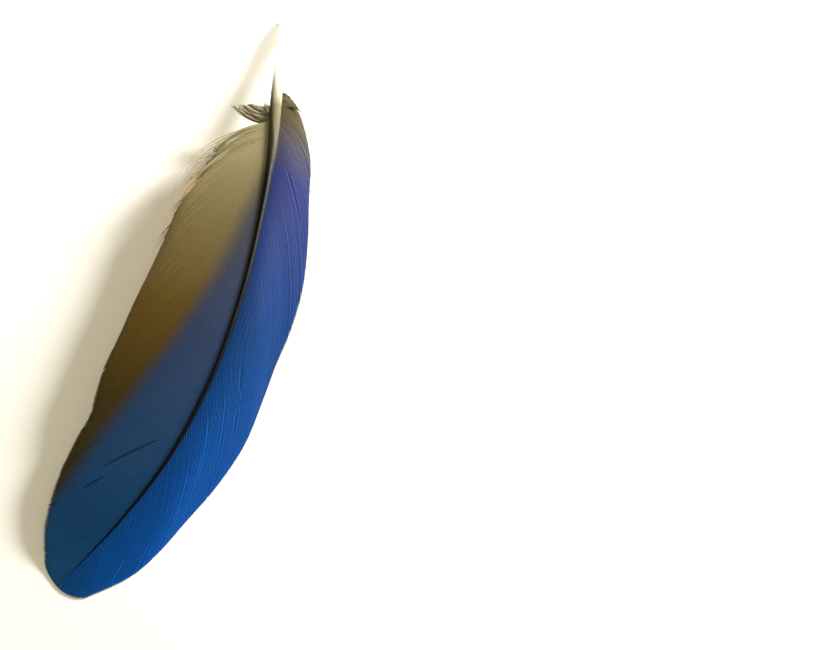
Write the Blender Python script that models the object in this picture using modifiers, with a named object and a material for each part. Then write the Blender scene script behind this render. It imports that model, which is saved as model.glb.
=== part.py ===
"""A macaw's wing covert feather, lying on a table with its blue upper side up.

The feather grew as one piece, so it is one solid. The quill and shaft are one tapering tube, and the
two vanes are one thin sheet, folded into ridged locks of barbs, that runs through the shaft.

Lengths in the tables are millimetres. A station is the distance from the quill's tip along the shaft.
The feather points along -Y with its quill towards +Y, its narrow leading vane is on the +X side, and
it rests on Z = 0 on the quill's tip, the leading edge and the end of the vane.
"""

import bmesh
import bpy
import numpy as np

MM = 0.001
WELD = 1e-6  # points closer together than this, in metres, are one

# Plan of the shaft: station, x, y. The last row is the end of the vane, past the end of the shaft.
SHAFT_PLAN = np.array([
    (0.0, -5.93, 62.48),
    (10.8, -3.28, 52.23),
    (23.7, -0.28, 39.98),
    (39.2, 3.37, 25.18),
    (53.0, 5.52, 11.58),
    (69.8, 6.82, -5.12),
    (85.7, 6.07, -20.97),
    (101.7, 2.67, -36.47),
    (114.8, -2.43, -48.27),
    (126.2, -8.03, -57.92),
    (130.6, -10.23, -61.67),
])
# Height of the shaft's middle above the table, and its radius: station, height or radius.
SHAFT_HEIGHT = np.array([
    (0.0, 0.40), (1.0, 0.70), (3.0, 1.20), (10.0, 2.60), (22.0, 5.00), (35.0, 7.30), (50.0, 8.80),
    (62.0, 9.20), (75.0, 8.90), (90.0, 7.50), (105.0, 5.15), (115.0, 3.15), (125.0, 1.00), (130.6, 0.10),
])
SHAFT_RADIUS = np.array([
    (0.0, 0.38), (1.0, 0.74), (3.0, 0.98), (10.0, 1.15), (22.0, 1.22), (30.0, 1.18), (39.0, 0.95),
    (48.0, 0.72), (70.0, 0.54), (90.0, 0.45), (110.0, 0.36), (126.2, 0.29),
])
SHAFT_END = 126.2
FEATHER_END = 130.6
TIP_RINGS = np.array([0.0, 0.5, 1.0, 2.0, 3.0, 5.0])  # stations of the rings at the quill's round tip
FIRST_EVEN_RING = 8.0
SHAFT_RINGS = 44
SHAFT_BEVEL = 2
VANE_LIFT = 0.35  # the vanes leave the shaft this share of its radius above its middle

# Width of each vane, square to the shaft: station, width.
TRAILING_WIDTH = np.array([
    (22.0, 5.0), (30.0, 9.0), (44.0, 15.4), (50.0, 16.8), (59.0, 18.2), (67.0, 19.3), (75.0, 20.1),
    (84.0, 20.2), (91.0, 20.0), (99.0, 18.4), (103.0, 17.3), (108.0, 16.7), (113.0, 15.5),
    (118.0, 13.9), (123.0, 11.2), (126.4, 8.4), (128.6, 5.8), (130.1, 3.5), (130.6, 0.0),
])
LEADING_WIDTH = np.array([
    (22.7, 2.7), (26.0, 4.5), (32.0, 6.3), (37.0, 7.25), (46.0, 7.8), (54.0, 8.7), (64.0, 9.3), (71.0, 8.9),
    (78.0, 8.25), (84.0, 8.4), (93.0, 9.05), (100.0, 8.7), (108.0, 8.15), (115.0, 8.25), (119.0, 8.0),
    (123.0, 7.0), (126.0, 5.9), (129.2, 4.15), (130.6, 0.0),
])
# Height of each vane's edge above the table: station, height. Where a barb would come lower than half
# the vane's thickness, it lies flat on the table instead, so a height below 0 makes a wider flat lip.
TRAILING_EDGE_HEIGHT = np.array([
    (22.0, 6.4), (43.0, 6.6), (62.0, 6.0), (78.0, 5.7), (93.0, 5.3), (107.0, 4.3), (117.0, 3.4), (125.0, 2.0),
    (128.0, 1.1), (130.6, 0.10),
])
LEADING_EDGE_HEIGHT = np.array([
    (22.0, 4.9), (35.0, 4.0), (50.0, 2.6), (65.0, 0.9), (75.0, -0.3), (85.0, -0.7), (100.0, -0.7),
    (112.0, -0.5), (120.0, -0.2), (126.0, 0.0), (130.6, 0.10),
])

# Where the barb that leaves the shaft at one station ends on the vane's edge: root, tip.
TRAILING_TIPS = np.array([
    (29.0, 43.0), (36.0, 55.0), (45.0, 69.0), (55.0, 83.0), (66.0, 96.0), (78.0, 107.5), (88.0, 116.0),
    (97.5, 122.8), (108.0, 127.4), (118.0, 129.6), (126.2, 130.6),
])
LEADING_TIPS = np.array([
    (23.0, 24.6), (26.0, 32.0), (29.5, 46.0), (34.0, 60.0), (45.0, 76.0), (60.0, 89.5), (75.0, 101.5),
    (90.0, 112.5), (105.0, 122.5), (115.0, 127.4), (121.0, 129.4), (126.2, 130.6),
])

# The barbs are grouped in locks. Each lock is a folded strip: a valley, a ridge and a valley.
LOCKS = 36
FIRST_ROOT = 21.0
ROWS_PER_LOCK = 3
BARB_STEPS = 10
STEP_CROWDING = 1.25  # the power by which the steps grow shorter towards the edge
LOCK_PITCH = (SHAFT_END - FIRST_ROOT) / LOCKS
LOCK_RIDGE = 0.14
RIDGE_FADES = 0.125  # share of the vane, at each of its ends, over which the ridges fade out
RIDGE_RISES = 1 / 6  # share of a barb over which its ridge rises beside the shaft
RIDGE_CLEARS = 0.5  # height above the table's lip at which a ridge has risen in full
RIDGE_REACH = 0.06  # how far a ridge reaches past the valleys at the vane's edge
REACH_POWER = 4  # the power by which it starts to reach further
VANE_THICKNESS = 0.42
TABLE_BEND = 0.15  # how softly a barb bends where it meets the table
PRESSED_BELOW = 0.08  # what comes closer to the table than this lies flat on it
CAMBER = 1.7  # the power by which a barb drops from the shaft to the edge

# How each vane's barbs run: the first lock, and where the two bends of the first and of the later barbs
# lie, each as a share of the barb's reach along the shaft and of its reach out.
VANES = {
    "trailing": {
        "side": -1.0, "first_lock": 3, "tips": TRAILING_TIPS, "width": TRAILING_WIDTH,
        "height": TRAILING_EDGE_HEIGHT,
        "first_bends": (0.07, 0.53, 0.39, 0.83), "bends": (0.23, 0.48, 0.56, 0.81),
    },
    "leading": {
        "side": 1.0, "first_lock": 1, "tips": LEADING_TIPS, "width": LEADING_WIDTH,
        "height": LEADING_EDGE_HEIGHT,
        "first_bends": (0.24, 0.51, 0.57, 0.84), "bends": (0.30, 0.47, 0.63, 0.80),
    },
}
BEND_SETTLES = 0.35  # share of the vane over which the first bends turn into the later ones
END_BENDS = (0.27, 0.48, 0.60, 0.80)  # the bends that both vanes share at the end, where they meet
END_SETTLES = 0.20  # share of the vane over which the bends turn into those

# Locks with a gap on both sides: vane, lock, and the step out from the shaft at which the gaps start.
PARTED_LOCKS = [
    ("trailing", 19, 7),
    ("trailing", 28, 9),
]
PARTED_TIP = 0.55  # width left at a parted lock's tip, as a share of its width

# Single barbs that stand clear of the vanes. Each bends from its root to its tip: side, then station,
# distance out and height of the root, station and distance of the bend, the same three of the tip, and
# the width at the root. Those at the foot bend back to the quill, and the others lie along the edge.
STRAY_BARBS = [
    (-1.0, (28.4, 0.0, 6.45), (28.6, 4.6), (24.9, 9.2, 6.3), 3.0),
    (-1.0, (27.4, 0.0, 6.35), (26.8, 3.4), (25.2, 6.2, 6.6), 1.8),
    (-1.0, (27.0, 0.0, 6.30), (26.2, 1.9), (24.9, 2.9, 6.8), 1.3),
    (-1.0, (26.2, 0.0, 6.20), (25.7, 1.5), (24.6, 2.1, 6.6), 1.0),
    (1.0, (23.6, 0.0, 5.60), (22.6, 1.4), (22.8, 2.9, 5.9), 1.7),
    (1.0, (25.6, 0.0, 5.95), (24.2, 2.6), (24.7, 4.4, 6.0), 1.7),
    (-1.0, (34.0, 9.0, 6.60), (36.6, 14.2), (40.8, 17.4, 6.9), 1.4),
    (-1.0, (35.5, 10.6, 6.65), (40.6, 15.6), (47.1, 19.3, 6.6), 1.2),
    (-1.0, (44.0, 13.2, 6.55), (48.6, 17.0), (54.4, 19.7, 6.4), 1.2),
    (-1.0, (50.0, 15.0, 6.35), (54.6, 18.3), (60.2, 19.8, 6.1), 1.1),
]
STRAY_THICKNESS = 0.52
STRAY_STEPS = 8
STRAY_TIP = 0.42  # width of a stray barb's tip

PLUM_BROWN = (0.105, 0.075, 0.035)
COBALT = (0.010, 0.075, 0.34)
HORN = (0.62, 0.55, 0.36)
DARK_HORN = (0.012, 0.010, 0.012)
QUILL_TURNS_DARK = 46.0
LEADING_TURNS_BLUE = 36.0
BLUE_SPREAD = 0.22  # how far the blue spreads over the trailing vane, per station past the dark quill
SHAFT_COLOUR_REACH = 1.1  # share of the shaft's radius that has the shaft's colour


def smooth(table, station, column=1):
    """The table's column at the stations, on a smooth cubic curve through its rows."""
    known, value = table[:, 0], table[:, column]
    slope = np.gradient(value, known)
    at = np.clip(np.asarray(station, float), known[0], known[-1])
    low = np.clip(np.searchsorted(known, at, side="right") - 1, 0, len(known) - 2)
    span = known[low + 1] - known[low]
    u = (at - known[low]) / span
    return (
        value[low] * (1 + 2 * u) * (1 - u) ** 2
        + value[low + 1] * u * u * (3 - 2 * u)
        + slope[low] * span * u * (1 - u) ** 2
        - slope[low + 1] * span * u * u * (1 - u)
    )


def width_at(table, station):
    """A vane's width. Its square is what runs smoothly, which makes the vane's end round."""
    squared = np.column_stack([table[:, 0], table[:, 1] ** 2])
    return np.sqrt(np.clip(smooth(squared, station), 0.0, None))


def spot(along, out, height):
    """Points at these stations, this far out from the shaft to the +X side, at these heights."""
    nudge = 0.05
    along = np.clip(along, 0.0, FEATHER_END)
    before, after = along - nudge, along + nudge
    run_x = smooth(SHAFT_PLAN, after, 1) - smooth(SHAFT_PLAN, before, 1)
    run_y = smooth(SHAFT_PLAN, after, 2) - smooth(SHAFT_PLAN, before, 2)
    length = np.hypot(run_x, run_y)
    x = smooth(SHAFT_PLAN, along, 1) - out * run_y / length
    y = smooth(SHAFT_PLAN, along, 2) + out * run_x / length
    return np.stack(np.broadcast_arrays(x, y, height), axis=-1)


def vane_root_height(along):
    return smooth(SHAFT_HEIGHT, along) + VANE_LIFT * smooth(SHAFT_RADIUS, along)


def bezier(start, bend, end, t):
    """A quadratic Bezier curve, for one coordinate."""
    return start * (1 - t) ** 2 + 2 * bend * t * (1 - t) + end * t**2


def bezier_of_four(start, bend, second_bend, end, t):
    """A cubic Bezier curve, for one coordinate."""
    return (
        start * (1 - t) ** 3 + 3 * bend * t * (1 - t) ** 2 + 3 * second_bend * t**2 * (1 - t) + end * t**3
    )


def vane_rows(name):
    """Points of one vane, a row for each valley and ridge and a column for each step out from the shaft."""
    vane = VANES[name]
    lock = np.repeat(np.arange(LOCKS), ROWS_PER_LOCK)[:, None]
    across = np.tile([0.0, 0.5, 1.0], LOCKS)[:, None]
    on_ridge = across == 0.5
    t = 1.0 - (1.0 - np.linspace(0.0, 1.0, BARB_STEPS + 1)[None, :]) ** STEP_CROWDING

    parting_step = np.full(LOCKS, BARB_STEPS)
    for owner, number, step in PARTED_LOCKS:
        if owner == name:
            parting_step[number] = step
    steps_parted = np.clip(np.arange(BARB_STEPS + 1) - parting_step[lock], 0, None)
    parted = np.sqrt(steps_parted / np.maximum(BARB_STEPS - parting_step[lock], 1))
    narrowed = 0.5 + (across - 0.5) * (1.0 - (1.0 - PARTED_TIP) * parted)

    root = FIRST_ROOT + (lock + narrowed) * LOCK_PITCH
    first_root = FIRST_ROOT + vane["first_lock"] * LOCK_PITCH
    share = np.clip((root - first_root) / (SHAFT_END - first_root), 0.0, 1.0)
    tip = smooth(vane["tips"], first_root + share * (SHAFT_END - first_root))
    width = width_at(vane["width"], tip)
    settled = np.clip(share / BEND_SETTLES, 0.0, 1.0)
    ending = np.clip((share - 1.0) / END_SETTLES + 1.0, 0.0, 1.0)
    near_along, near_out, far_along, far_out = (
        first + (later - first) * settled + (last - later) * ending
        for first, later, last in zip(vane["first_bends"], vane["bends"], END_BENDS)
    )
    reach = tip - root
    along = bezier_of_four(root, root + near_along * reach, root + far_along * reach, tip, t)
    out = bezier_of_four(0.0, near_out * width, far_out * width, width, t)

    end_fade = np.clip(np.minimum(share, 1.0 - share) / RIDGE_FADES, 0.0, 1.0)
    out = out + np.where(on_ridge, RIDGE_REACH, 0.0) * t**REACH_POWER * end_fade

    drop = vane_root_height(tip) - smooth(vane["height"], tip)
    clear = vane_root_height(along) - drop * t**CAMBER - 0.5 * VANE_THICKNESS
    clear = 0.5 * (clear + np.hypot(clear, TABLE_BEND))
    risen = np.clip(np.minimum(t / RIDGE_RISES, clear / RIDGE_CLEARS), 0.0, 1.0)
    fold = np.where(on_ridge, LOCK_RIDGE, 0.0) * end_fade * risen
    height = 0.5 * VANE_THICKNESS + clear + fold
    return spot(along, vane["side"] * out, height)


def sheet_object(name, points, kept=lambda row, column: True):
    """A grid of faces through the points, less the faces that kept turns down."""
    rows, columns = points.shape[:2]
    mesh = bpy.data.meshes.new(name)
    shape = bmesh.new()
    bmesh.ops.create_grid(shape, x_segments=columns - 1, y_segments=rows - 1, size=1.0)
    shape.verts.ensure_lookup_table()
    for vert, place in zip(shape.verts, points.reshape(-1, 3)):
        vert.co = place * MM
    number = {vert: index for index, vert in enumerate(shape.verts)}
    dropped = [
        face
        for face in shape.faces
        if not kept(*divmod(min(number[vert] for vert in face.verts), columns))
    ]
    bmesh.ops.delete(shape, geom=dropped, context="FACES")
    bmesh.ops.remove_doubles(shape, verts=shape.verts, dist=WELD)
    bmesh.ops.recalc_face_normals(shape, faces=shape.faces)
    shape.to_mesh(mesh)
    shape.free()
    return bpy.data.objects.new(name, mesh)


def thicken(obj, thickness):
    solidify = obj.modifiers.new("thickness", "SOLIDIFY")
    solidify.thickness = thickness * MM
    solidify.offset = 0.0
    return obj


def vane_sheet():
    """Both vanes as one sheet: the trailing edge is its first column, and the leading edge its last."""
    trailing, leading = vane_rows("trailing"), vane_rows("leading")
    points = np.concatenate([trailing[:, :0:-1], leading], axis=1)

    def kept(row, column):
        lock, line = divmod(row, ROWS_PER_LOCK)
        between_locks = line == ROWS_PER_LOCK - 1
        vane = VANES["trailing" if column < BARB_STEPS else "leading"]
        return lock >= vane["first_lock"] and not between_locks

    return thicken(sheet_object("vanes", points, kept), VANE_THICKNESS)


def stray_barb(number, side, root, bend, tip, root_width):
    """One barb that stands clear of the vanes: a strip, a little ridged, that narrows to its tip."""
    t = np.linspace(0.0, 1.0, STRAY_STEPS + 1)[:, None]
    across = np.array([-1.0, 0.0, 1.0])[None, :]
    along = bezier(root[0], bend[0], tip[0], t)
    out = bezier(root[1], bend[1], tip[1], t)
    run_along, run_out = np.gradient(along, axis=0), np.gradient(out, axis=0)
    half = 0.5 * (root_width + (STRAY_TIP - root_width) * t) / np.hypot(run_along, run_out)
    height = root[2] + (tip[2] - root[2]) * t + LOCK_RIDGE * (1.0 - np.abs(across))
    points = spot(along - run_out * half * across, side * (out + run_along * half * across), height)
    return thicken(sheet_object(f"stray_barb_{number}", points), STRAY_THICKNESS)


def shaft_tube():
    """The quill and shaft: a curve with the shaft's radius at each ring."""
    even_rings = np.linspace(FIRST_EVEN_RING, SHAFT_END, SHAFT_RINGS - len(TIP_RINGS))
    stations = np.concatenate([TIP_RINGS, even_rings])
    places = spot(stations, 0.0, smooth(SHAFT_HEIGHT, stations)) * MM
    radii = smooth(SHAFT_RADIUS, stations)
    data = bpy.data.curves.new("shaft", "CURVE")
    data.dimensions = "3D"
    data.bevel_depth = MM
    data.bevel_resolution = SHAFT_BEVEL
    data.use_fill_caps = True
    line = data.splines.new("POLY")
    line.points.add(len(stations) - 1)
    for point, place, radius in zip(line.points, places, radii):
        point.co = (*place, 1.0)
        point.radius = radius
    return bpy.data.objects.new("shaft", data)


def as_closed_mesh(obj):
    """The object as its modifiers leave it, as a new mesh object with its caps welded to its sides."""
    graph = bpy.context.evaluated_depsgraph_get()
    mesh = bpy.data.meshes.new_from_object(obj.evaluated_get(graph))
    shape = bmesh.new()
    shape.from_mesh(mesh)
    bmesh.ops.remove_doubles(shape, verts=shape.verts, dist=WELD)
    bmesh.ops.recalc_face_normals(shape, faces=shape.faces)
    shape.to_mesh(mesh)
    shape.free()
    solid = bpy.data.objects.new(obj.name, mesh)
    bpy.data.objects.remove(obj)
    return solid


def horny_material(name, colour, roughness):
    material = bpy.data.materials.new(name)
    material.use_nodes = True
    shader = material.node_tree.nodes["Principled BSDF"]
    shader.inputs["Base Color"].default_value = (*colour, 1.0)
    shader.inputs["Roughness"].default_value = roughness
    shader.inputs["Metallic"].default_value = 0.0
    return material


def colour_faces(mesh):
    """Gives the quill, the dark shaft, the brown vane and the blue vane their materials by place."""
    brown, blue, horn, dark = range(4)
    for name, colour, roughness in (
        ("brown_vane", PLUM_BROWN, 0.65),
        ("blue_vane", COBALT, 0.50),
        ("horn_quill", HORN, 0.30),
        ("dark_shaft", DARK_HORN, 0.35),
    ):
        mesh.materials.append(horny_material(name, colour, roughness))
    stations = np.linspace(0.0, FEATHER_END, 400)
    line = spot(stations, 0.0, smooth(SHAFT_HEIGHT, stations)) * MM
    for face in mesh.polygons:
        middle = np.array(face.center)
        nearest = int(np.argmin(np.hypot(*(line[:, :2] - middle[:2]).T)))
        station, away = stations[nearest], (middle[0] - line[nearest, 0]) / MM
        radius = float(smooth(SHAFT_RADIUS, station))
        if abs(away) < radius * SHAFT_COLOUR_REACH and station < SHAFT_END:
            face.material_index = dark if station > QUILL_TURNS_DARK else horn
        else:
            blue_reach = max(0.0, station - QUILL_TURNS_DARK) * BLUE_SPREAD
            leading_blue = away > 0.0 and station > LEADING_TURNS_BLUE
            face.material_index = blue if leading_blue or abs(away) < blue_reach else brown


def settle_on_table(mesh):
    """Presses flat what all but touches the table: the quill's tip, the leading edge and the vane's end."""
    places = np.empty(len(mesh.vertices) * 3, np.float32)
    mesh.vertices.foreach_get("co", places)
    places = places.reshape(-1, 3)
    places[places[:, 2] < PRESSED_BELOW * MM, 2] = 0.0
    mesh.vertices.foreach_set("co", places.ravel())
    mesh.update()


def build():
    for old in list(bpy.data.objects):
        bpy.data.objects.remove(old)
    model = bpy.data.collections.new("macaw_feather")
    pieces = bpy.data.collections.new("pieces_before_joining")
    bpy.context.scene.collection.children.link(model)
    bpy.context.scene.collection.children.link(pieces)

    made = [shaft_tube(), vane_sheet()]
    made += [stray_barb(number, *row) for number, row in enumerate(STRAY_BARBS, 1)]
    for piece in made:
        pieces.objects.link(piece)
    bpy.context.view_layer.update()
    solids = [as_closed_mesh(piece) for piece in made]
    for solid in solids:
        pieces.objects.link(solid)

    feather = solids[0]
    for solid in solids[1:]:
        union = feather.modifiers.new(f"join {solid.name}", "BOOLEAN")
        union.operation = "UNION"
        union.solver = "EXACT"
        union.use_self = True
        union.object = solid
    bpy.context.view_layer.update()
    whole = as_closed_mesh(feather)
    for solid in solids[1:]:
        bpy.data.objects.remove(solid)
    bpy.data.collections.remove(pieces)

    whole.name = "feather"
    whole.data.name = "feather"
    model.objects.link(whole)
    settle_on_table(whole.data)
    colour_faces(whole.data)
    whole.data.shade_smooth()


build()
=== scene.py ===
"""A macaw's wing covert feather on a pale surface, dressed barb by barb.

Each vane is a fan of separate barbs, and each barb is a closed ribbon with a raised middle, blue or
brown above and golden below. The shaft is a tapering tube with a hollow tip. All of it lies where the
solid is. Lengths in the tables are millimetres, a station is the distance from the quill's tip along
the shaft, and out is the distance from the shaft, square to it.
"""

import bpy
import numpy as np
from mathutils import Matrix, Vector


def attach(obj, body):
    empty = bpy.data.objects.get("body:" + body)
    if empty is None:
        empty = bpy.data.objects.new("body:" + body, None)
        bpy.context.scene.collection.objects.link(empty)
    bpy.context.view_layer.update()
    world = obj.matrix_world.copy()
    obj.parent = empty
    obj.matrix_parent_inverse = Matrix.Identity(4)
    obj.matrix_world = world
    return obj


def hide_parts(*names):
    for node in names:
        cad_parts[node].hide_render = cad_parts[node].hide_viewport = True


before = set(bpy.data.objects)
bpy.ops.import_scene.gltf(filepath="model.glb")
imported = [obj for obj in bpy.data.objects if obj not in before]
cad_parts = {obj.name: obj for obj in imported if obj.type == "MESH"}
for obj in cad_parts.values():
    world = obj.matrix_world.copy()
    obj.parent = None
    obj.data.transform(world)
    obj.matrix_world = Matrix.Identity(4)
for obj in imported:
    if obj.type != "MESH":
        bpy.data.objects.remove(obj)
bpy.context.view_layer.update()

MM = 0.001
RANDOM = np.random.default_rng(20)

# The shaft in plan: station, x, y. The last row is the end of the vanes.
SHAFT_PLAN = np.array([
    (0.0, -5.93, 62.48),
    (10.8, -3.28, 52.23),
    (23.7, -0.28, 39.98),
    (39.2, 3.37, 25.18),
    (53.0, 5.52, 11.58),
    (69.8, 6.82, -5.12),
    (85.7, 6.07, -20.97),
    (101.7, 2.67, -36.47),
    (114.8, -2.43, -48.27),
    (126.2, -8.03, -57.92),
    (130.6, -10.23, -61.67),
])
# Height of the shaft's middle above the table, and its radius.
SHAFT_HEIGHT = np.array([
    (0.0, 0.40), (1.0, 0.70), (3.0, 1.20), (10.0, 2.60), (22.0, 5.00), (35.0, 7.30), (50.0, 8.80),
    (62.0, 9.20), (75.0, 8.90), (90.0, 7.50), (105.0, 5.15), (115.0, 3.15), (125.0, 1.00), (130.6, 0.10),
])
SHAFT_RADIUS = np.array([
    (0.0, 0.36), (1.0, 0.72), (3.0, 0.98), (10.0, 1.15), (22.0, 1.24), (30.0, 1.18), (39.0, 0.92),
    (48.0, 0.68), (70.0, 0.52), (90.0, 0.43), (110.0, 0.30), (120.0, 0.19), (127.5, 0.07),
])
SHAFT_END = 126.2
FEATHER_END = 130.6
VANE_LIFT = 0.35  # the barbs leave the shaft this share of its radius above its middle

# Width of each vane: station, width.
TRAILING_WIDTH = np.array([
    (22.0, 5.0), (30.0, 9.0), (44.0, 15.4), (50.0, 16.8), (59.0, 18.2), (67.0, 19.3), (75.0, 20.1),
    (84.0, 20.2), (91.0, 20.0), (99.0, 18.4), (103.0, 17.3), (108.0, 16.7), (113.0, 15.5),
    (118.0, 13.9), (123.0, 11.2), (126.4, 8.4), (128.6, 5.8), (130.1, 3.5), (130.6, 0.0),
])
LEADING_WIDTH = np.array([
    (22.7, 2.7), (26.0, 4.5), (32.0, 6.3), (37.0, 7.25), (46.0, 7.8), (54.0, 8.7), (64.0, 9.3), (71.0, 8.9),
    (78.0, 8.25), (84.0, 8.4), (93.0, 9.05), (100.0, 8.7), (108.0, 8.15), (115.0, 8.25), (119.0, 8.0),
    (123.0, 7.0), (126.0, 5.9), (129.2, 4.15), (130.6, 0.0),
])
# How far out the trailing vane's barbs hold together. Past it each goes on as a thin loose hair.
TRAILING_ZIPPED = np.array([
    (28.0, 8.6), (31.8, 9.5), (34.4, 10.3), (37.0, 11.5), (41.0, 13.1), (45.3, 14.5), (50.3, 16.2),
    (55.2, 17.7), (60.0, 18.8), (66.0, 20.2), (74.0, 24.0), (131.0, 24.0),
])
LOOSE_WITHIN = 0.5  # how far past that a barb has become a hair
HAIR_SHARE = 0.24  # width of the hair, as a share of the barb's
# Height of each vane's edge above the table: station, height. Below 0 the edge lies flat in a wider lip.
TRAILING_EDGE_HEIGHT = np.array([
    (22.0, 6.4), (43.0, 6.6), (62.0, 6.0), (78.0, 5.7), (93.0, 5.3), (107.0, 4.3), (117.0, 3.4), (125.0, 2.0),
    (128.0, 1.1), (130.6, 0.10),
])
LEADING_EDGE_HEIGHT = np.array([
    (22.0, 4.9), (35.0, 4.0), (50.0, 2.6), (65.0, 0.9), (75.0, -0.3), (85.0, -0.7), (100.0, -0.7),
    (112.0, -0.5), (120.0, -0.2), (126.0, 0.0), (130.6, 0.10),
])
# Where the barb that leaves the shaft at one station ends on the vane's edge: root, tip.
TRAILING_TIPS = np.array([
    (29.0, 43.0), (36.0, 55.0), (45.0, 69.0), (55.0, 83.0), (66.0, 96.0), (78.0, 107.5), (88.0, 116.0),
    (97.5, 122.8), (108.0, 127.4), (118.0, 129.6), (126.2, 130.6),
])
LEADING_TIPS = np.array([
    (23.0, 24.6), (26.0, 32.0), (29.5, 46.0), (34.0, 60.0), (45.0, 76.0), (60.0, 89.5), (75.0, 101.5),
    (90.0, 112.5), (105.0, 122.5), (115.0, 127.4), (121.0, 129.4), (126.2, 130.6),
])

# How each vane's barbs run: where the first barb leaves the shaft, how many barbs there are, and where
# the two bends of the first and of the later barbs lie, as shares of the reach along and of the reach
# out. Between-barb gaps that opened and were never zipped shut again are in the partings: the barb's
# share along the vane where the gap lies, the share of the barb's length from which and to which it is
# open, how wide it is, and how far to each side barbs give way. A brushed barb looks paler: its share
# along the vane, and the share of its length from which and to which it is brushed.
VANES = {
    "trailing": {
        "side": -1.0, "first": 29.77, "count": 236, "tips": TRAILING_TIPS, "width": TRAILING_WIDTH,
        "height": TRAILING_EDGE_HEIGHT, "frayed": 0.1, "zipped": TRAILING_ZIPPED,
        "first_bends": (0.07, 0.53, 0.39, 0.83), "bends": (0.23, 0.48, 0.56, 0.81),
        "brushed": [(0.343, 0.54, 0.80), (0.275, 0.82, 0.92), (0.424, 0.74, 0.86)],
        "partings": [
            (0.685, 0.20, 0.66, 0.08, 0.030),
            (0.345, 0.95, 1.05, 0.30, 0.030),
            (0.487, 0.93, 1.10, 0.40, 0.020),
            (0.715, 0.60, 0.76, 0.06, 0.020),
            (0.705, 0.95, 1.10, 0.30, 0.020),
        ],
    },
    "leading": {
        "side": 1.0, "first": 23.92, "count": 196, "tips": LEADING_TIPS, "width": LEADING_WIDTH,
        "height": LEADING_EDGE_HEIGHT, "frayed": 0.25,
        "first_bends": (0.24, 0.51, 0.57, 0.84), "bends": (0.30, 0.47, 0.63, 0.80),
        "brushed": [],
        "partings": [
            (0.112, 0.24, 0.62, 0.10, 0.030),
            (0.474, 0.36, 0.50, 0.20, 0.016),
            (0.480, 0.58, 0.74, 0.16, 0.016),
            (0.520, 0.96, 1.10, 0.50, 0.020),
            (0.893, 0.90, 1.10, 0.50, 0.020),
        ],
    },
}
BEND_SETTLES = 0.35  # share of the vane over which the first barb's bends turn into the later ones'
END_BENDS = (0.27, 0.48, 0.60, 0.80)  # the last barb's bends
END_SETTLES = 0.20  # share of the vane over which the later bends turn into those
CAMBER = 1.7  # power with which a barb's height falls from the shaft to the edge
LIE = 0.16  # height of a barb's middle where it lies on the table
TABLE_BEND = 0.15  # how softly a barb bends to lie on the table
BARB_STEPS = 34
STEPS_LEAN = 1.15  # power that sets a barb's steps closer together near its tip
RIPPLE = 0.006  # height of a barb's unevenness
ROOT_JITTER = 0.03  # how unevenly barbs leave the shaft, as a share of their spacing
BARB_WANDER = 0.05  # and how much they wander on their way out
PARTING_DEPTH = 0.13  # how far the barbs beside a parting have sunk
PARTING_SHADE = 0.42  # how much darker the barbs beside a parting are painted, as a share: painted shade in the crease
PARTING_SPREAD = 0.75  # how far a parting's sinking and its painted shade reach to each side, in barbs
BRUSHED_SPREAD = 0.6  # and how far a brushed barb's paleness does
BRUSHED_LIGHT = 0.45  # how much lighter a brushed barb looks
FRAYED_SHARE = 0.22  # share of the vane, from its foot, over which the barbs' ends come apart
GOLD_ENDS = 0.93  # share of a barb's length up to which its underside is golden
BARB_OVERLAP = 1.34  # width of a barb, as a share of the room it has
WIDEST_BARB = 1.5
BARB_RIDGE = 0.013  # height of the ramus above the barbules beside it
BARB_DEPTH = 0.05
BARB_TILT = 0.022  # how much higher a barb's far side lies, so that it laps over the next one's near side

# Fans of loose barbs, at the foot of the vanes and along the trailing edge. Each spreads from a first to
# a second guide barb, and a guide barb bends from its root to its tip. The rows are the side, the count,
# the width and how uneven the lengths are; then station, out and height of the root, station and out of
# the bend, and station, out and height of the tip, for each guide.
FANS = {
    "foot_fan_outer": (-1.0, 28, 0.78, 0.12, (30.0, 0.0, 6.40, 29.9, 5.0, 25.3, 9.1, 6.3),
                       (27.0, 0.0, 6.35, 26.4, 2.6, 25.4, 4.6, 6.6)),
    "foot_curls": (-1.0, 10, 0.24, 0.20, (29.2, 0.0, 6.60, 28.0, 1.5, 25.0, 2.8, 7.0),
                   (26.6, 0.0, 6.30, 26.0, 1.0, 25.6, 1.7, 6.8)),
    "foot_fan_leading": (1.0, 18, 0.46, 0.14, (21.8, 0.0, 5.30, 22.0, 1.4, 23.3, 2.9, 5.5),
                         (26.0, 0.0, 6.00, 24.8, 3.8, 27.2, 5.3, 5.8)),
    "edge_wisp_1": (-1.0, 5, 0.15, 0.16, (31.4, 8.2, 5.6, 34.0, 13.0, 40.8, 17.3, 6.8),
                    (34.4, 9.4, 5.6, 38.0, 13.6, 44.0, 17.4, 6.7)),
    "edge_wisp_2": (-1.0, 5, 0.14, 0.14, (35.0, 10.2, 5.6, 40.0, 15.2, 47.1, 19.2, 6.5),
                    (38.0, 11.2, 5.6, 43.5, 15.9, 50.6, 18.8, 6.5)),
    "edge_wisp_3": (-1.0, 4, 0.13, 0.12, (44.0, 13.4, 5.5, 48.8, 17.2, 54.4, 19.6, 6.4),
                    (46.0, 13.8, 5.5, 51.0, 17.2, 56.0, 19.0, 6.4)),
    "edge_wisp_4": (-1.0, 4, 0.13, 0.12, (50.0, 15.0, 5.4, 54.8, 18.4, 60.2, 19.8, 6.1),
                    (52.0, 15.6, 5.4, 57.0, 18.4, 62.0, 19.6, 6.1)),
}

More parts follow.
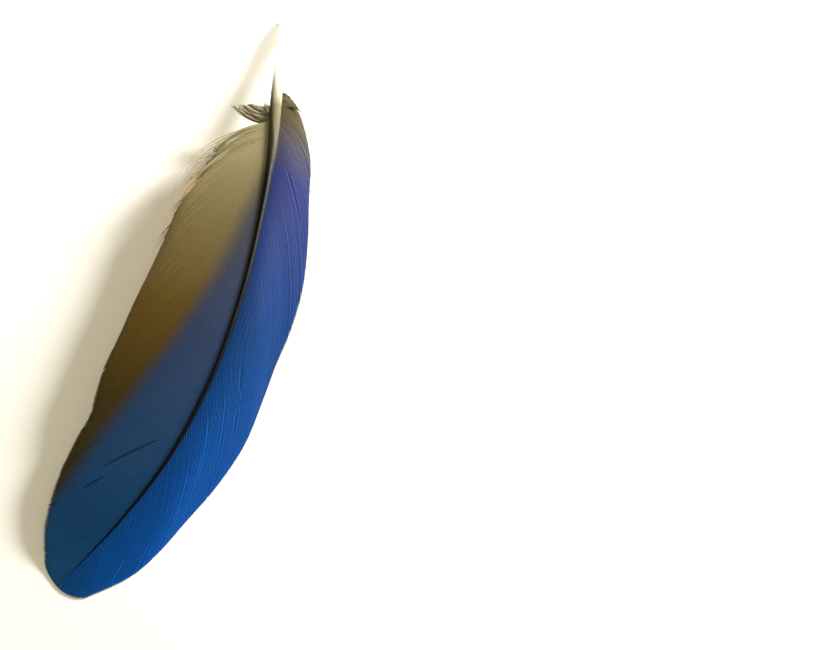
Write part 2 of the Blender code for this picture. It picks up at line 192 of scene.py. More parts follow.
# How far out the blue reaches over the brown trailing vane: station, out.
BLUE_REACH = np.array([
    (22.0, -3.0), (34.0, -1.5), (44.0, 1.6), (52.0, 3.6), (62.0, 5.4), (80.0, 9.6), (98.0, 12.8),
    (106.0, 13.0), (114.0, 12.4), (119.0, 12.0), (124.0, 14.0), (131.0, 19.5),
])

LEAST_REACH = -4.0  # the curve that holds the table runs from this
REACH_SPAN = 24.0  # over this much
OUT_UNIT = 20.0  # the attribute out is in this many millimetres

# Colours of the pigment zones, set against the photo.
FOOT_DRAB = "#4C4430"
VIOLET_BLUE = "#242A5C"
DEEP_BLUE = "#0C3468"
BRIGHT_BLUE = "#0650A8"
BUFF = "#8C8464"
UMBER = "#644E1C"
DARK_OLIVE = "#343010"
DUSK = "#3C3A3C"
SLATE_BLUE = "#26385C"
TEAL_BLUE = "#063E6C"
GOLD = "#DCA420"
IVORY = "#F2ECDA"
HORN_OLIVE = "#6A6448"
HORN_BLACK = "#080808"
EDGE_LAG = 3.0  # how much further along the feather a zone begins out at the leading vane's edge


def smooth(table, station, column=1):
    """The table's column at the stations: cubic Hermite pieces, with slopes from neighbouring rows."""
    known, value = table[:, 0], table[:, column]
    slope = np.gradient(value, known)
    at = np.clip(np.asarray(station, float), known[0], known[-1])
    low = np.clip(np.searchsorted(known, at, side="right") - 1, 0, len(known) - 2)
    span = known[low + 1] - known[low]
    u = (at - known[low]) / span
    return (
        value[low] * (1 + 2 * u) * (1 - u) ** 2
        + value[low + 1] * u * u * (3 - 2 * u)
        + slope[low] * span * u * (1 - u) ** 2
        - slope[low + 1] * span * u * u * (1 - u)
    )


def width_at(table, station):
    """A vane's width: the root of its smoothly running square, so that the vane's end is round."""
    squared = np.column_stack([table[:, 0], table[:, 1] ** 2])
    return np.sqrt(np.clip(smooth(squared, station), 0.0, None))


def spot(along, out, height):
    """Points at these stations and heights: the shaft's plan, plus out times its unit normal towards +X."""
    nudge = 0.05
    along = np.clip(along, 0.0, FEATHER_END)
    run_x = smooth(SHAFT_PLAN, along + nudge, 1) - smooth(SHAFT_PLAN, along - nudge, 1)
    run_y = smooth(SHAFT_PLAN, along + nudge, 2) - smooth(SHAFT_PLAN, along - nudge, 2)
    length = np.hypot(run_x, run_y)
    x = smooth(SHAFT_PLAN, along, 1) - out * run_y / length
    y = smooth(SHAFT_PLAN, along, 2) + out * run_x / length
    return np.stack(np.broadcast_arrays(x, y, height), axis=-1)


def root_height(along):
    return smooth(SHAFT_HEIGHT, along) + VANE_LIFT * smooth(SHAFT_RADIUS, along)


def bezier(start, bend, end, t):
    """start (1-t)^2 + 2 bend t (1-t) + end t^2."""
    return start * (1 - t) ** 2 + 2 * bend * t * (1 - t) + end * t**2


def bezier_of_four(start, bend, second_bend, end, t):
    """start (1-t)^3 + 3 bend t (1-t)^2 + 3 second_bend t^2 (1-t) + end t^3."""
    return (
        start * (1 - t) ** 3 + 3 * bend * t * (1 - t) ** 2 + 3 * second_bend * t**2 * (1 - t) + end * t**3
    )


def wander(count, steps, waves):
    """Smooth random numbers from about -1 to 1, one row per barb: a few sines of t with random phases."""
    t = np.linspace(0.0, 1.0, steps)[None, :]
    total = np.zeros((count, steps))
    for wave in range(1, waves + 1):
        phase = RANDOM.uniform(0.0, 2 * np.pi, (count, 1))
        size = RANDOM.normal(0.0, 1.0, (count, 1)) / waves**0.5
        total += size * np.sin(np.pi * wave * t + phase)
    return total


def even_shares(vane):
    """Shares of the vane at which its barbs leave the shaft: the room from barb to barb, which is the step
    along the shaft plus the step along the edge, is the same all along."""
    share = np.linspace(0.0, 1.0, 2001)
    root = vane["first"] + share * (SHAFT_END - vane["first"])
    tip = smooth(vane["tips"], root)
    edge = spot(tip, width_at(vane["width"], tip), 0.0)
    steps = np.diff(root) + np.linalg.norm(np.diff(edge, axis=0), axis=1)
    room = np.concatenate([[0.0], np.cumsum(steps)])
    wanted = (np.arange(vane["count"]) + 0.5) / vane["count"] * room[-1]
    return np.interp(wanted, room, share)[:, None]


def vane_barbs(name):
    """Middle lines of one vane's barbs: each is a cubic Bezier curve in station and out, from the shaft
    to the edge, and its height falls from the shaft's by the drop times t to the camber power, and bends
    softly to lie on the table. Returns the points, the stations, the shares out, and t."""
    vane = VANES[name]
    t = 1.0 - (1.0 - np.linspace(0.0, 1.0, BARB_STEPS + 1)[None, :]) ** STEPS_LEAN
    share = even_shares(vane)
    spacing = np.gradient(share, axis=0)
    jitter = RANDOM.normal(0.0, ROOT_JITTER, share.shape)
    share = share + spacing * (jitter + BARB_WANDER * wander(len(share), BARB_STEPS + 1, 2) * t)
    frayed = vane["frayed"] * np.clip(1.0 - share.mean(axis=1, keepdims=True) / FRAYED_SHARE, 0.0, 1.0)
    reach = SHAFT_END - vane["first"]
    sunk = np.zeros_like(share + t)
    for at, begins, ends, width, give in vane["partings"]:
        middle, half = 0.5 * (begins + ends), 0.5 * (ends - begins)
        opened = np.clip(1.0 - ((t - middle) / half) ** 2, 0.0, 1.0) ** 0.7
        away = share - at
        sunk = sunk + np.exp(-((away / (PARTING_SPREAD * spacing)) ** 2)) * opened
        share = share + np.sign(away) * np.exp(-np.abs(away) / give) * opened * 0.5 * width / reach
    share = np.clip(share, 0.0, 1.0)
    brushed = np.zeros_like(share)
    for at, begins, ends in vane["brushed"]:
        middle, half = 0.5 * (begins + ends), 0.5 * (ends - begins)
        along_it = np.clip(1.0 - ((t - middle) / half) ** 2, 0.0, 1.0)
        brushed = brushed + np.exp(-(((share - at) / (BRUSHED_SPREAD * spacing)) ** 2)) * along_it

    root = vane["first"] + share * (SHAFT_END - vane["first"])
    tip = smooth(vane["tips"], root)
    width = width_at(vane["width"], tip)
    settled = np.clip(share / BEND_SETTLES, 0.0, 1.0)
    ending = np.clip((share - 1.0) / END_SETTLES + 1.0, 0.0, 1.0)
    near_along, near_out, far_along, far_out = (
        first + (later - first) * settled + (last - later) * ending
        for first, later, last in zip(vane["first_bends"], vane["bends"], END_BENDS)
    )
    length = tip - root

    def path(t):
        along = bezier_of_four(root, root + near_along * length, root + far_along * length, tip, t)
        return along, bezier_of_four(0.0, near_out * width, far_out * width, width, t)

    def past_zipped(along, out):
        if "zipped" not in vane:
            return 0.0 * out
        return np.clip((out - smooth(vane["zipped"], along)) / LOOSE_WITHIN, 0.0, 1.0)

    zipped = (past_zipped(*path(t)) < 0.5).mean(axis=1, keepdims=True)
    kept = RANDOM.uniform(0.0, 1.0, (vane["count"], 1)) ** 1.3
    shorter = 1.0 - np.abs(RANDOM.normal(0.0, 1.0, (vane["count"], 1))) * (0.004 + 0.03 * frayed)
    shorter = np.minimum(shorter, zipped + (1.0 - zipped) * kept + 0.01)
    along, out = path(t * shorter)
    loose = past_zipped(along, out)
    drop = root_height(tip) - smooth(vane["height"], tip)
    clear = root_height(along) - drop * t**CAMBER - LIE
    clear = 0.5 * (clear + np.hypot(clear, TABLE_BEND))
    uneven = RIPPLE * wander(vane["count"], BARB_STEPS + 1, 3) * np.clip(4.0 * t, 0.0, 1.0)
    height = LIE + clear + (uneven - PARTING_DEPTH * sunk) * np.clip(3.0 * clear, 0.0, 1.0)
    taper = 0.95 - 0.10 * frayed
    hairs = 1.0 - (1.0 - HAIR_SHARE) * loose
    points = spot(along, vane["side"] * out, height)
    # Painted shade beside the partings, less the real paleness of brushed barbs.
    parting_shade_and_brushing = PARTING_SHADE * sunk - BRUSHED_LIGHT * brushed
    return points, along, out, np.broadcast_to(t, along.shape), taper, parting_shade_and_brushing, hairs


def fan_barbs(side, count, width, uneven, first, second):
    """Middle lines of a fan: quadratic Bezier curves whose ends and bend run evenly from the first
    guide's to the second's, a little shortened and turned at random."""
    t = np.linspace(0.0, 1.0, 15)[None, :]
    share = np.linspace(0.0, 1.0, count)[:, None]
    guide = [a + (b - a) * share for a, b in zip(first, second)]
    reach = 1.0 - uneven * RANDOM.uniform(0.0, 1.0, (count, 1))
    along = bezier(guide[0], guide[3], guide[5], t * reach)
    out = bezier(guide[1], guide[4], guide[6], t * reach)
    along = along + 0.30 * uneven * wander(count, 15, 2) * 4.0 * t
    out = np.maximum(out + 0.20 * uneven * wander(count, 15, 2) * 4.0 * t, 0.0)
    height = guide[2] + (guide[7] - guide[2]) * t + 0.10 * wander(count, 15, 2) * t
    return spot(along, side * out, height), along, out, np.broadcast_to(t, along.shape)


def mesh_object(name, points, faces, materials, material_of_face, corner_uv, attributes):
    """A mesh object at the origin from whole arrays: points in mm, faces of four, and per-point values."""
    mesh = bpy.data.meshes.new(name)
    mesh.from_pydata(points.reshape(-1, 3) * MM, [], faces.tolist())
    for material in materials:
        mesh.materials.append(material)
    mesh.polygons.foreach_set("material_index", material_of_face.astype(np.int32))
    mesh.polygons.foreach_set("use_smooth", np.ones(len(faces), bool))
    layer = mesh.uv_layers.new(name="surface")
    layer.data.foreach_set("uv", corner_uv.astype(np.float32).ravel())
    for label, values in attributes.items():
        attribute = mesh.attributes.new(label, "FLOAT", "POINT")
        attribute.data.foreach_set("value", values.astype(np.float32).ravel())
    mesh.update()
    piece = bpy.data.objects.new(name, mesh)
    bpy.context.scene.collection.objects.link(piece)
    return piece


# Across a barb, from its one side over the ramus to its other side and back underneath: share of the
# width, share of the ridge's height, and share of the depth.
BARB_SECTION = np.array([
    (-0.50, 0.00, 0.0),
    (-0.20, 0.55, 0.0),
    (0.00, 1.00, 0.0),
    (0.20, 0.55, 0.0),
    (0.50, 0.00, 0.0),
    (0.00, 0.00, -1.0),
])


def ribbons(name, points, along, out, t, width, materials, taper, tone_spread, parting_shade_and_brushing=0.0, hairs=1.0):
    """Closed ribbons along the barbs' middle lines. At each step the section is laid out along the
    surface, square to the barb, and along the surface's normal. Width narrows by the taper to the tip."""
    count, steps = t.shape
    run = np.gradient(points, axis=1)
    run /= np.linalg.norm(run, axis=2, keepdims=True)
    beside = np.gradient(points, axis=0)
    across = beside - (beside * run).sum(2, keepdims=True) * run
    room = np.linalg.norm(across, axis=2, keepdims=True)
    across /= np.maximum(room, 1e-6)
    if width is None:
        room = np.clip(room * BARB_OVERLAP, 0.10, WIDEST_BARB)
    else:
        room = np.full_like(room, width)
        across = np.cross(run, (0.0, 0.0, 1.0))
        across /= np.linalg.norm(across, axis=2, keepdims=True)
    up = np.cross(across, run)
    turned = np.sign(up[..., 2:])
    across, up = across * turned, up * turned
    narrowing = (1.0 - (1.0 - 0.25) * np.clip((t - taper) / (1.0 - taper), 0.0, 1.0) ** 2)[..., None]
    room = room * narrowing * (hairs + np.zeros((count, steps)))[..., None]
    thin = np.clip(room / 0.40, 0.35, 1.0)
    share, rise, depth = BARB_SECTION.T[:, None, None, :, None]
    tilt = 0.0 if width else BARB_TILT
    section = (
        points[:, :, None]
        + across[:, :, None] * share * room[:, :, None]
        + up[:, :, None] * (rise * BARB_RIDGE + depth * BARB_DEPTH + share * tilt) * thin[:, :, None]
    )

    sides = len(BARB_SECTION)
    number = np.arange(count * steps * sides).reshape(count, steps, sides)
    here, there = number[:, :-1], number[:, 1:]
    walls = np.stack([here, np.roll(here, -1, 2), np.roll(there, -1, 2), there], axis=-1).reshape(-1, 4)
    caps = []
    for end, order in ((number[:, 0], (3, 2, 1, 0)), (number[:, -1], (0, 1, 2, 3))):
        caps.append(end[:, [0, 1, 2, 3]][:, list(order)])
        caps.append(end[:, [0, 3, 4, 5]][:, list(order)])
    faces = np.concatenate([walls, *caps])
    below = np.zeros(len(faces), bool)
    hidden = ((t < GOLD_ENDS) & (hairs + np.zeros((count, steps)) > 0.9))[:, :-1, None]
    below[: len(walls)] = (hidden & (np.arange(sides) >= sides - 2)).ravel()

    run_length = np.cumsum(np.linalg.norm(np.diff(points, axis=1, prepend=points[:, :1]), axis=2), axis=1)
    barb = np.arange(count)[:, None, None]
    u = np.broadcast_to(barb + 0.5 + BARB_SECTION[:, 0], section.shape[:3]).ravel()
    v = np.broadcast_to(run_length[:, :, None], section.shape[:3]).ravel()
    # The tone: random from barb to barb, darker by the painted shade beside partings, lighter on brushed
    # barbs.
    tone = RANDOM.normal(0.0, tone_spread, (count, 1, 1)) - (parting_shade_and_brushing + np.zeros((count, steps)))[:, :, None]
    shape = section.shape[:3]
    attributes = {
        "station": np.broadcast_to(along[:, :, None] / FEATHER_END, shape),
        "out": np.broadcast_to(out[:, :, None] / OUT_UNIT, shape),
        "tip_share": np.broadcast_to(t[:, :, None], shape),
        "tone": np.broadcast_to(0.5 + tone, shape),
        "ramus": np.broadcast_to(BARB_SECTION[:, 1], shape),
    }
    corner_uv = np.column_stack([u, v])[faces.ravel()]
    return mesh_object(name, section, faces, materials, below, corner_uv, attributes)


def shaft_tube(name, materials):
    """The quill and shaft: rings square to the shaft's line. A ring's radius is the table's, times a
    shape that grows from round to a low keel on top and a groove below. The tip turns in to a small
    hole, and the far end closes to a point."""
    stations = np.concatenate([
        [0.9, 0.5, 0.12, 0.0, 0.0, 0.15, 0.5, 1.0, 1.6, 2.4, 3.4],
        np.linspace(4.5, 127.5, 150),
    ])
    inward = np.concatenate([[0.0, 0.30, 0.42, 0.50, 0.72, 0.92], np.ones(len(stations) - 6)])
    sides = 28
    turn = np.linspace(0.0, 2 * np.pi, sides, endpoint=False)
    keeled = np.clip((stations - 26.0) / 18.0, 0.0, 1.0)[:, None]
    from_top = np.minimum(turn, 2 * np.pi - turn)[None]
    keel = 0.10 * np.exp(-((from_top / 0.5) ** 2))
    groove = -0.34 * np.exp(-((turn[None] - np.pi) / 0.42) ** 2)
    squared = 0.05 * np.cos(4 * turn)[None]
    shape = 1.0 + keeled * (keel + groove + squared)
    rings = 0.012 * np.sin(stations * 2.1)[:, None] * (1.0 - keeled)
    radius = (smooth(SHAFT_RADIUS, stations) * inward)[:, None] * (shape + rings)
    radius = np.maximum(radius, 0.0)
    line = spot(stations, 0.0, smooth(SHAFT_HEIGHT, stations))
    run = spot(stations + 0.4, 0.0, smooth(SHAFT_HEIGHT, stations + 0.4)) - spot(
        np.maximum(stations - 0.4, 0.0), 0.0, smooth(SHAFT_HEIGHT, np.maximum(stations - 0.4, 0.0))
    )
    run /= np.linalg.norm(run, axis=1, keepdims=True)
    outward = np.cross((0.0, 0.0, 1.0), run)
    outward /= np.linalg.norm(outward, axis=1, keepdims=True)
    above = np.cross(run, outward)
    points = (
        line[:, None]
        + (radius * np.sin(turn))[..., None] * outward[:, None]
        + (radius * np.cos(turn))[..., None] * above[:, None]
    )
    points[..., 2] = np.maximum(points[..., 2], 0.0)

    number = np.arange(points.shape[0] * sides).reshape(-1, sides)
    here, there = number[:-1], number[1:]
    walls = np.stack([here, there, np.roll(there, -1, 1), np.roll(here, -1, 1)], axis=-1).reshape(-1, 4)
    half = np.arange(1, sides // 2)
    ends = []
    for ring, flipped in ((number[0], False), (number[-1], True)):
        quads = np.stack([ring[half - 1], ring[half], ring[-half], ring[(1 - half) % sides]], axis=-1)
        ends.append(quads[:, ::-1] if flipped else quads)
    faces = np.concatenate([walls, *ends])
    flat = points.reshape(-1, 3)
    ring_of = np.repeat(np.arange(len(stations)), sides)
    turn_of = np.tile(turn, len(stations))
    corner_uv = np.column_stack([turn_of / (2 * np.pi), stations[ring_of]])[faces.ravel()]
    shape_of = (len(stations), sides)
    attributes = {
        "station": np.broadcast_to(stations[:, None] / FEATHER_END, shape_of),
        "leading_side": np.broadcast_to(0.5 + 0.5 * np.sin(turn)[None], shape_of),
        "upper": np.broadcast_to(0.5 + 0.5 * np.cos(turn)[None], shape_of),
    }
    return mesh_object(name, flat, faces, materials, np.zeros(len(faces), int), corner_uv, attributes)


def linear(code):
    """An sRGB hex colour as linear RGBA."""
    channels = np.array([int(code[i : i + 2], 16) for i in (1, 3, 5)]) / 255.0
    channels = np.where(channels <= 0.04045, channels / 12.92, ((channels + 0.055) / 1.055) ** 2.4)
    return (*channels.tolist(), 1.0)


def add(tree, kind, settings=None, links=None):
    """A node with its settings, by property or input name, and its inputs linked from other sockets."""
    node = tree.nodes.new(kind)
    for label, value in (settings or {}).items():
        if isinstance(label, str) and hasattr(node, label):
            setattr(node, label, value)
        else:
            node.inputs[label].default_value = value
    for label, socket in (links or {}).items():
        tree.links.new(socket, node.inputs[label])
    return node


def colours_along(tree, factor, stops):
    """A colour ramp with stops of (place, hex) along the factor."""
    ramp = add(tree, "ShaderNodeValToRGB", links={"Fac": factor})
    elements = ramp.color_ramp.elements
    while len(elements) < len(stops):
        elements.new(0.5)
    for element, (place, code) in zip(elements, stops):
        element.position = place
        element.color = linear(code)
    return ramp.outputs["Color"]


def at_station(rows):
    return [(station / FEATHER_END, code) for station, code in rows]


def new_material(name):
    material = bpy.data.materials.new(name)
    material.use_nodes = True
    return material, material.node_tree, material.node_tree.nodes["Principled BSDF"]


def attribute(tree, name):
    return add(tree, "ShaderNodeAttribute", {"attribute_name": name}).outputs["Fac"]


def mixed(tree, factor, first, second, blend="MIX"):
    mix = add(tree, "ShaderNodeMix", {"data_type": "RGBA", "blend_type": blend, "clamp_factor": True})
    for socket, value in ((mix.inputs[0], factor), (mix.inputs[6], first), (mix.inputs[7], second)):
        if isinstance(value, (int, float, tuple)):
            socket.default_value = value
        else:
            tree.links.new(value, socket)
    return mix.outputs[2]


def shaded(tree, colour, value):
    """The colour times a grey of this value."""
    grey = add(tree, "ShaderNodeCombineColor", links={"Red": value, "Green": value, "Blue": value})
    return mixed(tree, 1.0, colour, grey.outputs["Color"], "MULTIPLY")


def barb_relief(tree, shader, strength):
    """Fine barbules: bars square to the barb. Real ones are 0.03 mm apart, too fine to show, so these
    are 0.22 mm apart, with a little unevenness along the barb."""
    surface = add(tree, "ShaderNodeUVMap", {"uv_map": "surface"}).outputs["UV"]
    bars = add(
        tree, "ShaderNodeTexWave",
        {"wave_type": "BANDS", "bands_direction": "Y", "Scale": 1.43, "Distortion": 1.2, "Detail": 1.0},
        {"Vector": surface},
    )
    stretched = add(tree, "ShaderNodeMapping", {"Scale": (1.0, 0.5, 1.0)}, {"Vector": surface})
    grain = add(
        tree, "ShaderNodeTexNoise", {"Scale": 2.0, "Detail": 3.0},
        {"Vector": stretched.outputs["Vector"]},
    )
    height = mixed(tree, 0.5, bars.outputs["Color"], grain.outputs["Color"])
    bump = add(tree, "ShaderNodeBump", {"Strength": strength, "Distance": 0.00003}, {"Height": height})
    tree.links.new(bump.outputs["Normal"], shader.inputs["Normal"])
    return grain.outputs["Fac"]


def toned(tree, colour, surface_grain):
    """The colour made lighter or darker from barb to barb and, a little, along each barb, and darker by the
    painted shade beside partings.
    """
    tone = attribute(tree, "tone")
    spread = add(
        tree, "ShaderNodeMapRange", {"From Min": 0.0, "From Max": 1.0, "To Min": 0.62, "To Max": 1.38},
        {"Value": tone},
    )
    grain = add(
        tree, "ShaderNodeMapRange", {"From Min": 0.25, "From Max": 0.75, "To Min": 0.86, "To Max": 1.14},
        {"Value": surface_grain},
    )
    both = add(tree, "ShaderNodeMath", {"operation": "MULTIPLY"})
    tree.links.new(spread.outputs["Result"], both.inputs[0])
    tree.links.new(grain.outputs["Result"], both.inputs[1])
    return shaded(tree, colour, both.outputs[0])


# Keratin barbs whose spongy middle scatters blue light over a dark backing: a deep, matt blue with a
# soft silky sheen, violet near the foot where the backing is thin.
def structural_blue_barbs():
    material, tree, shader = new_material("structural_blue_barbs")
    station = attribute(tree, "station")
    slanted = add(tree, "ShaderNodeMath", {"operation": "MULTIPLY_ADD", 1: -EDGE_LAG / FEATHER_END})
    tree.links.new(attribute(tree, "tip_share"), slanted.inputs[0])
    tree.links.new(station, slanted.inputs[2])
    colour = colours_along(tree, slanted.outputs[0], at_station([
        (28.0, FOOT_DRAB), (42.0, VIOLET_BLUE), (75.0, DEEP_BLUE), (120.0, BRIGHT_BLUE), (130.0, TEAL_BLUE),
    ]))
    grain = barb_relief(tree, shader, 0.35)
    tree.links.new(toned(tree, colour, grain), shader.inputs["Base Color"])
    shader.inputs["Roughness"].default_value = 0.62
    shader.inputs["IOR"].default_value = 1.54
    shader.inputs["Specular IOR Level"].default_value = 0.06
    shader.inputs["Sheen Weight"].default_value = 0.01
    shader.inputs["Sheen Roughness"].default_value = 0.4
    shader.inputs["Sheen Tint"].default_value = linear("#9FB8E8")
    return material


# Keratin barbs browned by melanin, with the same scattering blue beside the shaft: drab and matt, paler
# and greyer at the foot, where little pigment was laid down.
def melanin_brown_barbs():
    material, tree, shader = new_material("melanin_brown_barbs")
    station = attribute(tree, "station")
    out = attribute(tree, "out")
    brown = colours_along(tree, station, at_station([(32.0, BUFF), (74.0, UMBER), (112.0, DARK_OLIVE)]))
    blue = colours_along(tree, station, at_station([(46.0, DUSK), (80.0, SLATE_BLUE), (114.0, TEAL_BLUE)]))
    reach = BLUE_REACH
    centre = add(tree, "ShaderNodeFloatCurve", links={"Value": station})
    curve = centre.mapping.curves[0]
    for place, level in reach[1:-1]:
        curve.points.new(place / FEATHER_END, (level - LEAST_REACH) / REACH_SPAN)
    curve.points[0].location = (0.0, (reach[0, 1] - LEAST_REACH) / REACH_SPAN)
    curve.points[-1].location = (1.0, (reach[-1, 1] - LEAST_REACH) / REACH_SPAN)
    centre.mapping.update()
    level = add(
        tree, "ShaderNodeMath",
        {"operation": "MULTIPLY_ADD", 1: REACH_SPAN / OUT_UNIT, 2: LEAST_REACH / OUT_UNIT},
    )
    tree.links.new(centre.outputs["Value"], level.inputs[0])
    past = add(tree, "ShaderNodeMath", {"operation": "SUBTRACT"})
    tree.links.new(level.outputs[0], past.inputs[0])
    tree.links.new(out, past.inputs[1])
    grain = barb_relief(tree, shader, 0.5)
    ragged = add(tree, "ShaderNodeMath", {"operation": "MULTIPLY_ADD", 1: 0.10, 2: -0.05})
    tree.links.new(attribute(tree, "tone"), ragged.inputs[0])
    past_ragged = add(tree, "ShaderNodeMath", {"operation": "ADD"})
    tree.links.new(past.outputs[0], past_ragged.inputs[0])
    tree.links.new(ragged.outputs[0], past_ragged.inputs[1])
    blueness = add(
        tree, "ShaderNodeMapRange", {"interpolation_type": "SMOOTHSTEP", "From Min": -0.09, "From Max": 0.13},
        {"Value": past_ragged.outputs[0]},
    )
    deeper = add(
        tree, "ShaderNodeMapRange", {"From Min": -0.55, "From Max": 0.0, "To Min": 1.28, "To Max": 0.70},
        {"Value": past_ragged.outputs[0]},
    )
    brown = shaded(tree, brown, deeper.outputs["Result"])
    colour = mixed(tree, blueness.outputs["Result"], brown, blue)
    edge = add(
        tree, "ShaderNodeMapRange",
        {"interpolation_type": "SMOOTHSTEP", "From Min": 0.90, "From Max": 1.0, "To Max": 0.35},
        {"Value": attribute(tree, "tip_share")},
    )
    colour = mixed(tree, edge.outputs["Result"], colour, linear("#2E2A12"))
    tree.links.new(toned(tree, colour, grain), shader.inputs["Base Color"])
    shader.inputs["Roughness"].default_value = 0.55
    shader.inputs["IOR"].default_value = 1.54
    shader.inputs["Specular IOR Level"].default_value = 0.08
    shader.inputs["Sheen Weight"].default_value = 0.02
    shader.inputs["Sheen Roughness"].default_value = 0.5
    shader.inputs["Sheen Tint"].default_value = linear("#E8DCC0")
    return material


# The underside of the same barbs, filled with a yellow pigment: golden, satin, and bright enough to
# throw yellow light on the table.
def golden_underside():
    material, tree, shader = new_material("golden_underside")
    gold = colours_along(tree, attribute(tree, "station"), at_station([(22.0, BUFF), (50.0, GOLD)]))
    grain = barb_relief(tree, shader, 0.5)
    tree.links.new(toned(tree, gold, grain), shader.inputs["Base Color"])
    shader.inputs["Roughness"].default_value = 0.45
    shader.inputs["IOR"].default_value = 1.54
    shader.inputs["Specular IOR Level"].default_value = 0.4
    return material


# Pale down-like barbs with hardly any pigment: off-white, a little see-through, matt.
def washed_barbs(name, codes):
    material, tree, shader = new_material(name)
    colour = colours_along(tree, attribute(tree, "tip_share"), codes)
    grain = barb_relief(tree, shader, 0.4)
    tree.links.new(toned(tree, colour, grain), shader.inputs["Base Color"])
    shader.inputs["Roughness"].default_value = 0.6
    shader.inputs["IOR"].default_value = 1.54
    shader.inputs["Specular IOR Level"].default_value = 0.25
    return material


# Solid keratin: clear ivory and hollow in the quill, black with melanin along the shaft, with the
# smooth low gloss of horn. The trailing side, turned away from the window light, is painted darker
# from about station 13 to 44: painted shade.
def horn():
    material, tree, shader = new_material("horn")
    station = attribute(tree, "station")
    ivory = colours_along(tree, station, at_station([
        (16.0, IVORY), (26.0, HORN_OLIVE), (42.0, HORN_BLACK),
    ]))
    # Colours of the trailing side: painted shade, darker than the ramp above from about station 13 to 44.
    shaded_side_colours = colours_along(tree, station, at_station([(13.0, IVORY), (24.0, FOOT_DRAB), (44.0, HORN_BLACK)]))
    side = attribute(tree, "leading_side")
    spread = add(
        tree, "ShaderNodeMapRange",
        {"interpolation_type": "SMOOTHSTEP", "From Min": 24.0 / FEATHER_END, "From Max": 48.0 / FEATHER_END,
         "To Min": 0.26, "To Max": 1.15},
        {"Value": station},
    )
    spread.clamp = True
    under = add(tree, "ShaderNodeMath", {"operation": "SUBTRACT"})
    tree.links.new(spread.outputs["Result"], under.inputs[0])
    tree.links.new(side, under.inputs[1])
    # Mask of the painted shade: the trailing side, over a share that widens with the station.
    painted_side_shade = add(
        tree, "ShaderNodeMapRange", {"interpolation_type": "SMOOTHSTEP", "From Min": -0.06, "From Max": 0.06},
        {"Value": under.outputs[0]},
    )
    colour = mixed(tree, painted_side_shade.outputs["Result"], ivory, shaded_side_colours)
    place = add(tree, "ShaderNodeTexCoord").outputs["Object"]
    surface = add(tree, "ShaderNodeUVMap", {"uv_map": "surface"}).outputs["UV"]
    lengthwise = add(tree, "ShaderNodeMapping", {"Scale": (14.0, 0.25, 1.0)}, {"Vector": surface})
    streaks = add(
        tree, "ShaderNodeTexNoise", {"Scale": 1.0, "Detail": 4.0},
        {"Vector": lengthwise.outputs["Vector"]},
    )
    streaked = add(
        tree, "ShaderNodeMapRange", {"From Min": 0.3, "From Max": 0.7, "To Min": 0.80, "To Max": 1.16},
        {"Value": streaks.outputs["Fac"]},
    )
    tree.links.new(shaded(tree, colour, streaked.outputs["Result"]), shader.inputs["Base Color"])
    specks = add(tree, "ShaderNodeTexNoise", {"Scale": 1800.0, "Detail": 2.0}, {"Vector": place})
    rough = add(
        tree, "ShaderNodeMapRange", {"From Min": 0.3, "From Max": 0.7, "To Min": 0.42, "To Max": 0.58},
        {"Value": specks.outputs["Fac"]},
    )
    tree.links.new(rough.outputs["Result"], shader.inputs["Roughness"])
    bump = add(
        tree, "ShaderNodeBump", {"Strength": 0.25, "Distance": 0.00003},
        {"Height": streaks.outputs["Fac"]},
    )
    tree.links.new(bump.outputs["Normal"], shader.inputs["Normal"])
    clear = add(
        tree, "ShaderNodeMapRange",
        {"From Min": 12.0 / FEATHER_END, "From Max": 25.0 / FEATHER_END, "To Min": 0.45, "To Max": 1.0},
        {"Value": station},
    )
    tree.links.new(clear.outputs["Result"], shader.inputs["Alpha"])
    shader.inputs["IOR"].default_value = 1.54
    shader.inputs["Specular IOR Level"].default_value = 0.08
    return material


def dress(piece):
    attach(piece, "root")
    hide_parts("feather")


blue, brown, gold, keratin = structural_blue_barbs(), melanin_brown_barbs(), golden_underside(), horn()
foot_barbs = washed_barbs(
    "drab_foot_barbs", [(0.0, "#3A3620"), (0.18, "#6A644C"), (0.7, "#857E66"), (1.0, "#A8A08A")]
)
curl_barbs = washed_barbs("dusky_foot_barbs", [(0.0, "#38341F"), (0.6, "#4E4930"), (1.0, "#454128")])
wisp_barbs = washed_barbs("pale_edge_wisps", [(0.0, "#7E7650"), (0.6, "#8C8460"), (1.0, "#A09878")])

for vane, material, tone_spread in (("leading", blue, 0.022), ("trailing", brown, 0.030)):
    points, along, out, t, taper, parting_shade_and_brushing, hairs = vane_barbs(vane)
    materials = [material, gold]
    dress(ribbons(f"{vane}_vane", points, along, out, t, None, materials, taper, tone_spread, parting_shade_and_brushing, hairs))
for fan, (side, count, width, uneven, first, second) in FANS.items():
    points, along, out, t = fan_barbs(side, count, width, uneven, first, second)
    upper = wisp_barbs if fan.startswith("edge") else foot_barbs if fan == "foot_fan_outer" else curl_barbs
    dress(ribbons(fan, points, along, out, t, width, [upper, gold], 0.35, 0.12))
dress(shaft_tube("shaft", [keratin]))


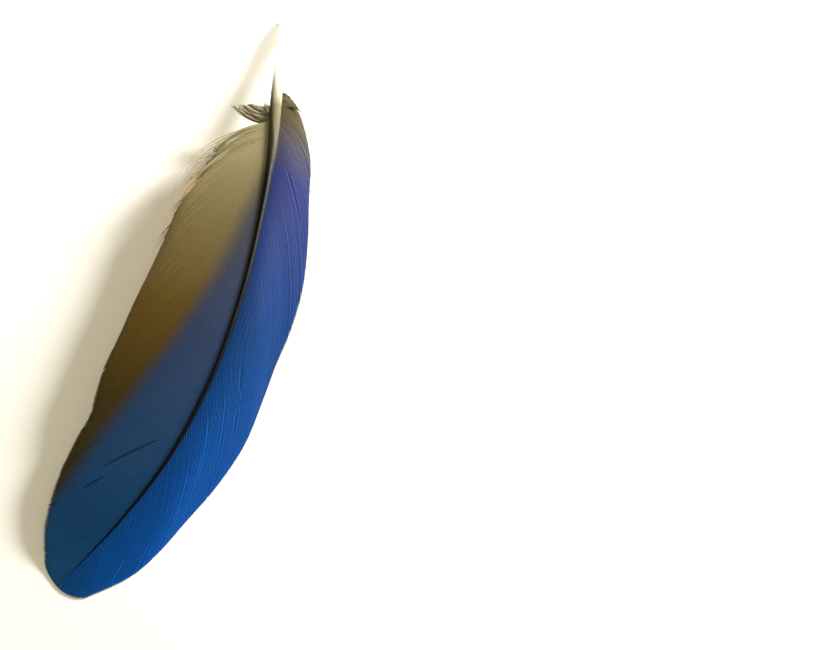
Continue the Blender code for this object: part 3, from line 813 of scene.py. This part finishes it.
# A plain pale table, soft light from a large window on the right, and the photograph's camera.
def stage_floor():
    mesh = bpy.data.meshes.new("table")
    corners = [(-1.2, -1.2, 0.0), (1.2, -1.2, 0.0), (1.2, 1.2, 0.0), (-1.2, 1.2, 0.0)]
    mesh.from_pydata(corners, [], [(0, 1, 2, 3)])
    material, tree, shader = new_material("matt_white_board")
    shader.inputs["Base Color"].default_value = linear("#F4F3F0")
    shader.inputs["Roughness"].default_value = 0.85
    mesh.materials.append(material)
    floor = bpy.data.objects.new("table", mesh)
    bpy.context.scene.collection.objects.link(floor)


def soft_light(name, azimuth, elevation, distance, size, watts, colour):
    """An area light at a bearing seen from the feather (0 is +X, 90 is +Y), turned to face it."""
    data = bpy.data.lights.new(name, "AREA")
    data.shape = "DISK"
    data.size = size
    data.energy = watts
    data.color = linear(colour)[:3]
    light = bpy.data.objects.new(name, data)
    a, e = np.radians(azimuth), np.radians(elevation)
    away = Vector((np.cos(a) * np.cos(e), np.sin(a) * np.cos(e), np.sin(e)))
    light.location = away * distance
    light.rotation_euler = away.to_track_quat("Z", "Y").to_euler()
    bpy.context.scene.collection.objects.link(light)


CAMERA_AZIMUTH = 14.2
CAMERA_ELEVATION = 68.0
CAMERA_DISTANCE = 0.2185
CAMERA_TARGET = Vector((0.03780, 0.00136, 0.0))


def photo_camera():
    data = bpy.data.cameras.new("photo_camera")
    data.lens = 50.0
    data.sensor_width = 36.0
    data.clip_start = 0.01
    camera = bpy.data.objects.new("photo_camera", data)
    a, e = np.radians(CAMERA_AZIMUTH), np.radians(CAMERA_ELEVATION)
    back = Vector((np.sin(a) * np.cos(e), -np.cos(a) * np.cos(e), np.sin(e)))
    camera.location = CAMERA_TARGET + back * CAMERA_DISTANCE
    camera.rotation_euler = back.to_track_quat("Z", "Y").to_euler()
    bpy.context.scene.collection.objects.link(camera)
    bpy.context.scene.camera = camera


stage_floor()
soft_light("window", 46.0, 18.5, 0.42, 0.11, 5.8, "#FFFEFA")
soft_light("overhead", 100.0, 75.0, 0.80, 0.60, 1.5, "#FFF4D6")
world = bpy.data.worlds.new("pale_room")
world.use_nodes = True
world.node_tree.nodes["Background"].inputs["Color"].default_value = linear("#FFF3D2")
world.node_tree.nodes["Background"].inputs["Strength"].default_value = 0.38
bpy.context.scene.world = world
bpy.context.scene.view_settings.view_transform = "Standard"
photo_camera()
